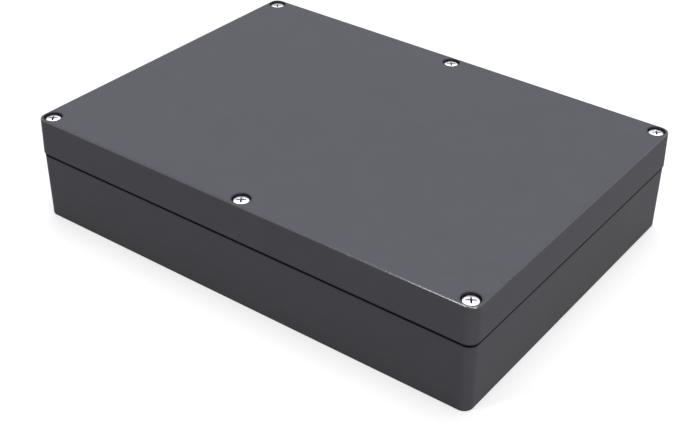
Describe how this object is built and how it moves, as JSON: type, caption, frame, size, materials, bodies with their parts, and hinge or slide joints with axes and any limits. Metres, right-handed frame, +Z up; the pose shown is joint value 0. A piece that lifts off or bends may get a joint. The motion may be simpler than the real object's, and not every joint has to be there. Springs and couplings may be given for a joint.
{
  "type": "project box",
  "caption": "Shallow rectangular plastic enclosure: deep lid on recessed pan-head screws, tongue-and-groove gasket seal, and wall-fixing holes outside the seal.",
  "frame": {"origin": "middle of the underside, on the surface that the closed box stands on", "axes": "+X along the length, +Y along the width, +Z up through the lid"},
  "size_m": [0.29, 0.21, 0.063],
  "materials": {
    "enclosure_plastic": "fine moulded grain, satin, dark grey",
    "seal_rubber": "matte black",
    "screw_steel": "bright zinc-plated steel",
    "insert_brass": "turned brass"
  },
  "bodies": {
    "base": {"base": "enclosure_plastic", "insert_front_left": "insert_brass", "insert_front_middle": "insert_brass", "insert_front_right": "insert_brass", "insert_back_left": "insert_brass", "insert_back_middle": "insert_brass", "insert_back_right": "insert_brass"},
    "lid": {"lid": "enclosure_plastic", "gasket": "seal_rubber"},
    "screw_front_left": {"screw_front_left": "screw_steel"},
    "screw_front_middle": {"screw_front_middle": "screw_steel"},
    "screw_front_right": {"screw_front_right": "screw_steel"},
    "screw_back_left": {"screw_back_left": "screw_steel"},
    "screw_back_middle": {"screw_back_middle": "screw_steel"},
    "screw_back_right": {"screw_back_right": "screw_steel"}
  },
  "joints": [
    {"name": "lid_lift", "type": "slide", "parent": "base", "child": "lid", "axis": [0, 0, 1], "range_m": [0, 0.09]},
    {"name": "unscrew_front_left", "type": "slide", "parent": "lid", "child": "screw_front_left", "axis": [0, 0, 1], "range_m": [0, 0.045]},
    {"name": "unscrew_front_middle", "type": "slide", "parent": "lid", "child": "screw_front_middle", "axis": [0, 0, 1], "range_m": [0, 0.045]},
    {"name": "unscrew_front_right", "type": "slide", "parent": "lid", "child": "screw_front_right", "axis": [0, 0, 1], "range_m": [0, 0.045]},
    {"name": "unscrew_back_left", "type": "slide", "parent": "lid", "child": "screw_back_left", "axis": [0, 0, 1], "range_m": [0, 0.045]},
    {"name": "unscrew_back_middle", "type": "slide", "parent": "lid", "child": "screw_back_middle", "axis": [0, 0, 1], "range_m": [0, 0.045]},
    {"name": "unscrew_back_right", "type": "slide", "parent": "lid", "child": "screw_back_right", "axis": [0, 0, 1], "range_m": [0, 0.045]}
  ]
}
